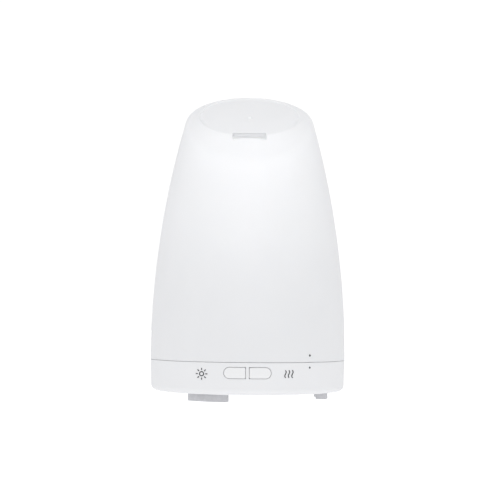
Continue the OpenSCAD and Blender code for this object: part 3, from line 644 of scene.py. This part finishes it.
def ink(name, color):
    """Pad-printed ink: slightly uneven cover with tiny pinholes."""
    n = Nodes(name)
    cover = n.between(n.noise(0.35, 4), 0.0, 1.0, 0.3, 0.55)
    n.link(n.mix(cover, scaled(color, 1.5), color), n.bsdf.inputs["Base Color"])
    n.link(n.between(n.noise(0.6, 3), 0.5, 0.7), n.bsdf.inputs["Roughness"])
    n.link(n.bump(n.noise(0.2, 3), 0.01, 0.5), n.bsdf.inputs["Normal"])
    return n.mat


def phosphor(name):
    """White package with a yellow phosphor that pools unevenly."""
    n = Nodes(name)
    pool = n.between(n.noise(1.2, 3), 0.0, 1.0)
    n.link(n.mix(pool, (0.88, 0.80, 0.42), (0.93, 0.90, 0.70)), n.bsdf.inputs["Base Color"])
    n.link(n.between(n.noise(0.8, 2), 0.25, 0.4), n.bsdf.inputs["Roughness"])
    n.link(n.bump(n.noise(0.6, 3), 0.02, 0.5), n.bsdf.inputs["Normal"])
    return n.mat


def paint(obj, mat):
    """Gives the whole object one material."""
    obj.data.materials.clear()
    obj.data.materials.append(mat)
    obj.data.polygons.foreach_set("material_index", [0] * len(obj.data.polygons))


INNER_WHITE = (0.80, 0.81, 0.82)
BUTTON_WHITE = (0.872, 0.872, 0.878)
materials = {
    "cover_plastic": plastic("cover_plastic", (0.860, 0.862, 0.872), 0.50, sss=0.22, sss_mm=2.4),
    "base_plastic": plastic("base_plastic", (0.850, 0.852, 0.862), 0.48, sss=0.12, sss_mm=1.5),
    "inner_plastic": plastic("inner_plastic", INNER_WHITE, 0.38, 0.8, 0.01, 0.97, sss=0.2),
    "button_plastic": plastic("button_plastic", BUTTON_WHITE, 0.36, 0.5, 0.004, 0.99, sss=0.1, sss_mm=1.0),
    "print": ink("print", (0.045, 0.045, 0.05)),
    "foot_rubber": rubber("foot_rubber", (0.55, 0.55, 0.57)),
    "seal_silicone": rubber("seal_silicone", (0.62, 0.63, 0.65), 0.6),
    "steel": metal("steel", (0.62, 0.63, 0.65), 0.3),
    "aluminium": metal("aluminium", (0.72, 0.73, 0.75), 0.36, (1, 12, 1)),
    "disc_metal": metal("disc_metal", (0.70, 0.70, 0.70), 0.22, (12, 1, 1)),
    "circuit_board": board("circuit_board", (0.02, 0.11, 0.04), (0.05, 0.22, 0.08)),
    "white_board": board("white_board", (0.80, 0.80, 0.78), (0.70, 0.70, 0.66)),
    "led_package": phosphor("led_package"),
    "black_plastic": plastic("black_plastic", (0.022, 0.022, 0.025), 0.42, 0.3, 0.01, 0.7),
    "ferrite": rubber("ferrite", (0.05, 0.05, 0.055), 0.6, grain_mm=0.3),
    "copper": winding("copper", (0.65, 0.30, 0.12)),
    "bronze": metal("bronze", (0.50, 0.36, 0.18), 0.45, (1, 1, 1), grain_mm=0.4),
    "socket_plastic": plastic("socket_plastic", (0.72, 0.68, 0.56), 0.4, 0.4, 0.008, 0.92),
    "wire_insulation": wires("wire_insulation", (0.42, 0.02, 0.015), (0.015, 0.015, 0.015)),
}
grey_wires = wires("grey_wires", (0.30, 0.30, 0.31), (0.20, 0.20, 0.21))
# Painted light: the funnel glows though it is no lamp. Its emission stands in for the daylight that comes
# through the cover's thin white walls.
funnel_painted_glow = plastic("funnel_painted_glow", INNER_WHITE, 0.38, 0.8, 0.01, 0.97, glow=0.2)

for part in frame["record"]["subparts"]:
    paint(frame["nodes"][part["node"]], materials[part["material_slot"]])
for node in ("led_wires", "switch_wires"):
    paint(frame["nodes"][node], grey_wires)
paint(frame["nodes"]["mist_funnel"], funnel_painted_glow)

paint(make_cover(), materials["cover_plastic"])
paint(make_gate_mark(), materials["cover_plastic"])
paint(make_button(-1, "light_cap", "light_button", "light_key"), materials["button_plastic"])
paint(make_button(1, "mist_cap", "mist_button", "mist_key"), materials["button_plastic"])
for foot_name, foot_angle in (("foot_front_left", 240), ("foot_right", 0), ("foot_rear_left", 120)):
    paint(make_foot(foot_name + "_pad", foot_name, foot_angle), materials["foot_rubber"])


# ================= floor, light, camera =================

LIGHT_LEVEL = 1.01
LIGHT_LEAN = (0, -0.10, -0.19)  # the light grows toward here: to the front and down
CAMERA_PLACE = (0, -0.560, 0.036)
CAMERA_AIM = (0.0007, 0, 0.0677)
CAMERA_ROLL = 0.47  # degrees
CAMERA_LENS = 87.4


def make_floor():
    """A white tabletop that fades into the backdrop and throws no light back."""
    size = 3000.0
    corners = [(-size, -size, 0), (size, -size, 0), (size, size, 0), (-size, size, 0)]
    obj = mesh_object("floor", corners, [(0, 1, 2, 3)])
    n = Nodes("floor_white")
    clouds = n.between(n.noise(300, 2), 0.0, 1.0)
    n.link(n.mix(clouds, (0.86, 0.86, 0.86), (0.88, 0.88, 0.88)), n.bsdf.inputs["Base Color"])
    n.bsdf.inputs["Roughness"].default_value = 0.9
    n.bsdf.inputs["Specular IOR Level"].default_value = 0.1
    n.bsdf.inputs["Emission Color"].default_value = (1, 1, 1, 1)
    n.bsdf.inputs["Emission Strength"].default_value = 0.55
    paint(obj, n.mat)
    obj.visible_diffuse = False
    obj.visible_glossy = False


def make_world():
    """Even white studio: pure white behind the object, and light strongest from the front and below."""
    world = bpy.data.worlds.new("studio")
    bpy.context.scene.world = world
    world.use_nodes = True
    tree = world.node_tree
    light = tree.nodes["Background"]
    light.inputs["Color"].default_value = (0.985, 0.99, 1.0, 1)
    direction = tree.nodes.new("ShaderNodeTexCoord").outputs["Generated"]
    lean = tree.nodes.new("ShaderNodeVectorMath")
    lean.operation = "DOT_PRODUCT"
    lean.inputs[1].default_value = LIGHT_LEAN
    tree.links.new(direction, lean.inputs[0])
    level = tree.nodes.new("ShaderNodeMath")
    level.operation = "ADD"
    level.inputs[1].default_value = LIGHT_LEVEL
    tree.links.new(lean.outputs["Value"], level.inputs[0])
    tree.links.new(level.outputs[0], light.inputs["Strength"])
    backdrop = tree.nodes.new("ShaderNodeBackground")
    backdrop.inputs["Color"].default_value = (1, 1, 1, 1)
    backdrop.inputs["Strength"].default_value = 1.05
    path = tree.nodes.new("ShaderNodeLightPath")
    choose = tree.nodes.new("ShaderNodeMixShader")
    tree.links.new(path.outputs["Is Camera Ray"], choose.inputs[0])
    tree.links.new(light.outputs[0], choose.inputs[1])
    tree.links.new(backdrop.outputs[0], choose.inputs[2])
    tree.links.new(choose.outputs[0], tree.nodes["World Output"].inputs["Surface"])


def make_spot(name, place, aim, degrees, watts, narrow, radius):
    """A soft-edged lamp. Its beam is narrow times as wide as it is high."""
    data = bpy.data.lights.new(name, "SPOT")
    data.spot_size = math.radians(degrees)
    data.spot_blend = 1.0
    data.shadow_soft_size = radius
    data.energy = watts
    obj = bpy.data.objects.new(name, data)
    obj.location = place
    obj.rotation_euler = (Vector(place) - Vector(aim)).to_track_quat("Z", "Y").to_euler()
    obj.scale = (narrow, 1, 1)
    bpy.context.collection.objects.link(obj)


def make_camera():
    """The camera in front, a little above the table and rolled slightly."""
    data = bpy.data.cameras.new("camera")
    data.sensor_width = 36
    data.lens = CAMERA_LENS
    obj = bpy.data.objects.new("camera", data)
    place, aim = Vector(CAMERA_PLACE), Vector(CAMERA_AIM)
    look = (aim - place).to_track_quat("-Z", "Y").to_matrix().to_4x4()
    obj.matrix_world = Matrix.Translation(place) @ look @ Matrix.Rotation(math.radians(CAMERA_ROLL), 4, "Z")
    bpy.context.collection.objects.link(obj)
    bpy.context.scene.camera = obj


make_floor()
make_world()
make_spot("accent", (0.0, -0.36, 0.10), (0, -0.03, 0.1145), 6.6, 0.27, 1.9, 0.006)
make_spot("key", (-0.01, -0.36, 0.12), (0, -0.03, 0.12), 20, 2.3, 0.6, 0.05)
make_camera()
bpy.context.scene.view_settings.view_transform = "Standard"
